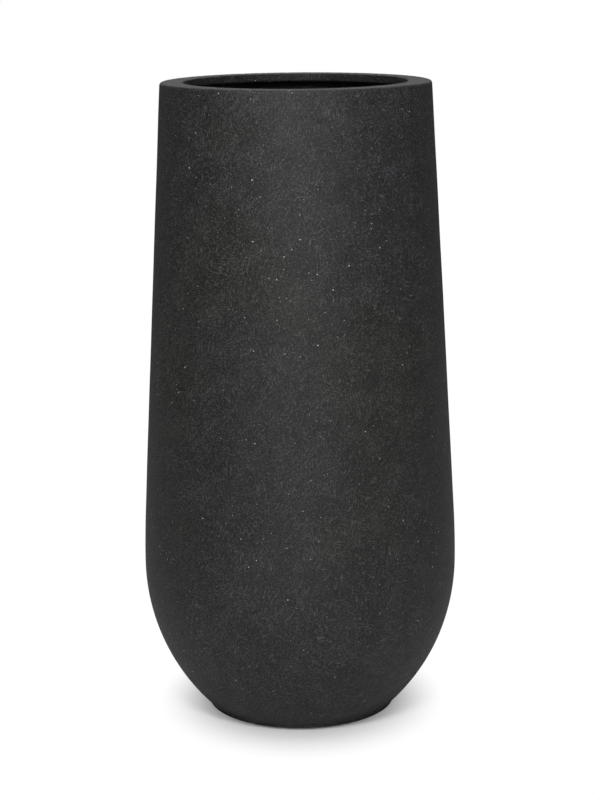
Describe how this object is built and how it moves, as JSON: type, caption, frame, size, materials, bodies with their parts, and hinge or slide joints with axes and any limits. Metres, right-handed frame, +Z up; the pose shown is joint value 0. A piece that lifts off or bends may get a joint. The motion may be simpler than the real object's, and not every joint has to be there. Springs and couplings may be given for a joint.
{
  "type": "tall fiberglass planter",
  "caption": "Tall round planter with a tapered barrel, a bowl-shaped lower body on a small flat foot, a turned-in rim and a lift-out liner with folding wire bails.",
  "frame": {"origin": "centre of the footprint, on the floor", "axes": "+Z up along the vessel's axis; the liner's two bails fold towards +X and -X"},
  "size_m": [0.448, 0.448, 0.9],
  "materials": {
    "laminate": "matte filled laminate, charcoal, fine fibre web and pale specks",
    "raw_laminate": "uncoated glass laminate, pigmented black",
    "doubler": "glass laminate plate, pigmented black",
    "bush_plastic": "moulded black plastic",
    "pad_rubber": "plain black rubber",
    "plug_rubber": "moulded black rubber",
    "liner_plastic": "moulded black plastic, fine texture",
    "wire": "black coated steel wire"
  },
  "bodies": {
    "planter": {"upper_shell": "laminate", "lower_shell": "laminate", "rim_ring": "laminate", "seam_strap": "raw_laminate", "liner_ledge": "raw_laminate", "base_plate": "doubler", "drain_bush": "bush_plastic", "foot_pads": "pad_rubber"},
    "liner": {"liner_pot": "liner_plastic"},
    "bail_right": {"lift_bail_right": "wire"},
    "bail_left": {"lift_bail_left": "wire"},
    "plug": {"drain_plug": "plug_rubber"}
  },
  "joints": [
    {"name": "liner_lift", "type": "slide", "parent": "planter", "child": "liner", "axis": [0, 0, 1], "range_m": [0, 0.345]},
    {"name": "bail_right_swing", "type": "hinge", "parent": "liner", "child": "bail_right", "pos_m": [0.012, 0, 0.8683], "axis": [0, -1, 0], "range_deg": [0, 90]},
    {"name": "bail_left_swing", "type": "hinge", "parent": "liner", "child": "bail_left", "pos_m": [-0.012, 0, 0.8683], "axis": [0, 1, 0], "range_deg": [0, 90]},
    {"name": "plug_pull", "type": "slide", "parent": "planter", "child": "plug", "axis": [0, 0, 1], "range_m": [0, 0.04]}
  ]
}
